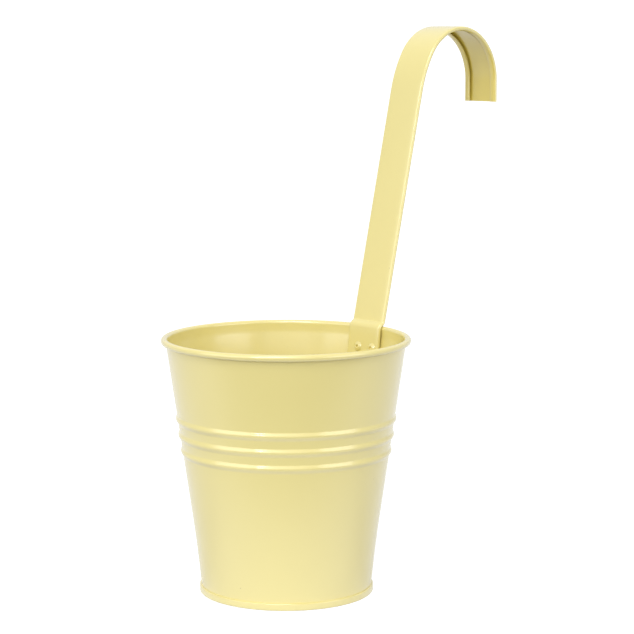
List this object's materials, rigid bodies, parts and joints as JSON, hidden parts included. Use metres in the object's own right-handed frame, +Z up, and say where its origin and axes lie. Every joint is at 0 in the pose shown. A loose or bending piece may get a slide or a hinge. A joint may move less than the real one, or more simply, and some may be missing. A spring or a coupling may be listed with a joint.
{
  "type": "hanging bin",
  "caption": "Tapered round sheet-steel bin with ribbed wall, rolled wired rim, seamed base and one riveted hemmed strap that hooks over a rail.",
  "frame": {"origin": "centre of the base on the plane the pot stands on, which is also on the pot's axis", "axes": "+Z up along the pot's axis, +Y from the pot's axis towards the hanger strap, +X across the strap"},
  "size_m": [0.15, 0.2524, 0.3388],
  "materials": {
    "wall_paint": "satin",
    "wire_steel": "drawn",
    "base_paint": "satin",
    "strap_paint": "satin",
    "rivet_paint": "satin",
    "stem_paint": "satin"
  },
  "bodies": {
    "root": {"pot_wall": "wall_paint", "rim_wire": "wire_steel", "base_pan": "base_paint", "hanger_strap": "strap_paint", "rivet_left": "rivet_paint", "rivet_right": "rivet_paint", "rivet_stem_left": "stem_paint", "rivet_stem_right": "stem_paint"}
  },
  "joints": []
}
